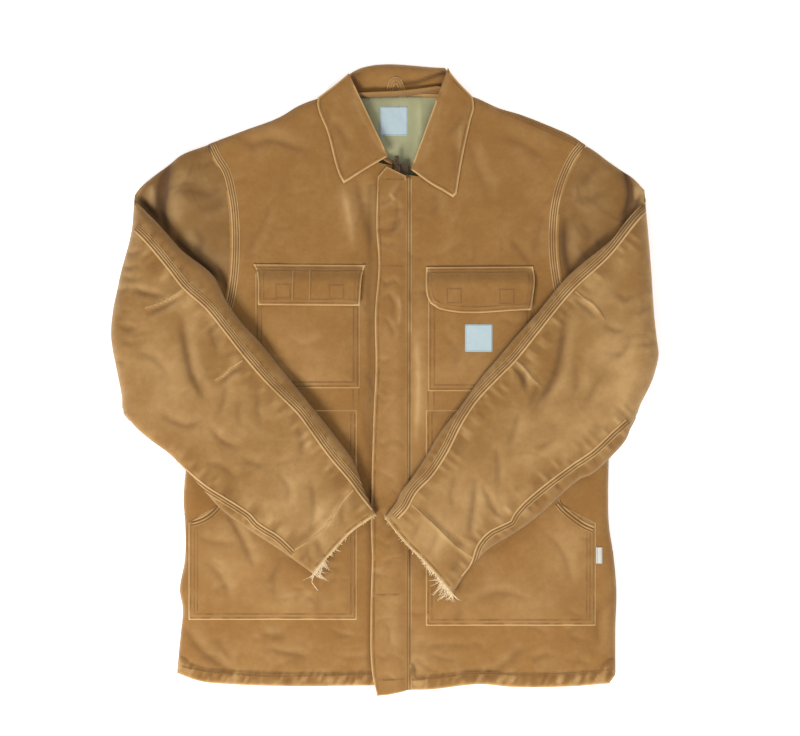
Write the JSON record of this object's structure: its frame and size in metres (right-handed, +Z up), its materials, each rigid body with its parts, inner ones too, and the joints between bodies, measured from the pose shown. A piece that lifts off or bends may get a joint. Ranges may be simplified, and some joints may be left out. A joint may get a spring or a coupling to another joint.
{
  "type": "lined canvas work coat",
  "caption": "Lined canvas work coat laid flat on its back, sleeves folded across the front, with zipper, storm flap, collar, flapped chest pockets and slanted patch pockets.",
  "frame": {"origin": "middle of the coat's outline, on the surface it lies on", "axes": "+Z up through the coat from back to front, +Y along the coat towards the collar, +X towards the wearer's left side"},
  "size_m": [0.741, 0.864, 0.0454],
  "materials": {
    "duck_canvas": "worn brown cotton duck, matte, paler at folded edges",
    "quilted_lining": "pale green quilted lining, faint sheen",
    "zipper_tape": "dark brown woven tape",
    "zipper_metal": "dark antique brass, worn bright on the edges",
    "hook_and_loop": "brown hook and loop pile",
    "label_cloth": "blank pale woven label",
    "stitch_thread": "tan topstitch thread"
  },
  "bodies": {
    "coat": {"back_lining": "quilted_lining", "back_shell": "duck_canvas", "chest_label": "label_cloth", "chest_pocket_left": "duck_canvas", "chest_pocket_right": "duck_canvas", "collar_fall": "duck_canvas", "collar_stand": "duck_canvas", "front_lining_left": "quilted_lining", "front_lining_right": "quilted_lining", "front_shell_left": "duck_canvas", "front_shell_right": "duck_canvas", "hanger_loop": "duck_canvas", "lower_pocket_left": "duck_canvas", "lower_pocket_right": "duck_canvas", "neck_label": "label_cloth", "pocket_loop_left_a": "hook_and_loop", "pocket_loop_left_b": "hook_and_loop", "pocket_loop_right_a": "hook_and_loop", "pocket_loop_right_b": "hook_and_loop", "side_label": "label_cloth", "side_seam_left": "duck_canvas", "side_seam_right": "duck_canvas", "storm_flap_base": "duck_canvas", "storm_flap_loop_lower": "hook_and_loop", "storm_flap_loop_upper": "hook_and_loop", "storm_flap_middle": "duck_canvas", "upper_sleeve_back_left": "duck_canvas", "upper_sleeve_back_right": "duck_canvas", "upper_sleeve_front_left": "duck_canvas", "upper_sleeve_front_right": "duck_canvas", "upper_sleeve_lining_left": "quilted_lining", "upper_sleeve_lining_right": "quilted_lining", "zipper_retainer": "zipper_metal", "zipper_tape_left": "zipper_tape", "zipper_tape_right": "zipper_tape", "zipper_teeth_left": "zipper_metal", "zipper_teeth_right": "zipper_metal"},
    "storm_flap": {"storm_flap_upper": "duck_canvas", "storm_flap_hook_upper": "hook_and_loop", "storm_flap_lower": "duck_canvas", "storm_flap_hook_lower": "hook_and_loop"},
    "zipper_slider": {"zipper_slider": "zipper_metal"},
    "zipper_pull": {"zipper_pull": "zipper_metal"},
    "pocket_flap_right": {"pocket_flap_right": "duck_canvas", "pocket_hook_right_a": "hook_and_loop", "pocket_hook_right_b": "hook_and_loop"},
    "pocket_flap_left": {"pocket_flap_left": "duck_canvas", "pocket_hook_left_a": "hook_and_loop", "pocket_hook_left_b": "hook_and_loop"},
    "collar_leaf_right": {"under_collar_right": "duck_canvas", "top_collar_right": "duck_canvas"},
    "collar_leaf_left": {"under_collar_left": "duck_canvas", "top_collar_left": "duck_canvas"},
    "forearm_right": {"forearm_under_right": "duck_canvas", "forearm_top_right": "duck_canvas", "forearm_lining_right": "quilted_lining"},
    "forearm_left": {"forearm_under_left": "duck_canvas", "forearm_top_left": "duck_canvas", "forearm_lining_left": "quilted_lining"}
  },
  "joints": [
    {"name": "zipper_slide", "type": "slide", "parent": "coat", "child": "zipper_slider", "axis": [0, -1, 0], "range_m": [0, 0.675]},
    {"name": "zipper_pull_swing", "type": "hinge", "parent": "zipper_slider", "child": "zipper_pull", "pos_m": [0.0139, 0.2955, 0.0218], "axis": [1, 0, 0], "range_deg": [0, 120]},
    {"name": "storm_flap_open", "type": "hinge", "parent": "coat", "child": "storm_flap", "pos_m": [0.0269, 0.08, 0.023], "axis": [0, 1, 0], "range_deg": [0, 100]},
    {"name": "pocket_flap_right_lift", "type": "hinge", "parent": "coat", "child": "pocket_flap_right", "pos_m": [-0.1061, 0.1606, 0.0283], "axis": [-1, 0, 0], "range_deg": [0, 150]},
    {"name": "pocket_flap_left_lift", "type": "hinge", "parent": "coat", "child": "pocket_flap_left", "pos_m": [0.1279, 0.1576, 0.0283], "axis": [-1, 0, 0], "range_deg": [0, 150]},
    {"name": "collar_leaf_right_turn_up", "type": "hinge", "parent": "coat", "child": "collar_leaf_right", "pos_m": [-0.0251, 0.365, 0.021], "axis": [-0.4281, 0.9037, 0], "range_deg": [0, 90]},
    {"name": "collar_leaf_left_turn_up", "type": "hinge", "parent": "coat", "child": "collar_leaf_left", "pos_m": [0.0584, 0.359, 0.021], "axis": [-0.3467, -0.938, 0], "range_deg": [0, 70]},
    {"name": "sleeve_right_unfold", "type": "hinge", "parent": "coat", "child": "forearm_right", "pos_m": [-0.3671, 0.1, 0.0228], "axis": [-0.0499, -0.9988, 0], "range_deg": [0, 175]},
    {"name": "sleeve_left_unfold", "type": "hinge", "parent": "coat", "child": "forearm_left", "pos_m": [0.3681, 0.1, 0.0228], "axis": [-0.0479, 0.9988, 0], "range_deg": [0, 175]}
  ]
}
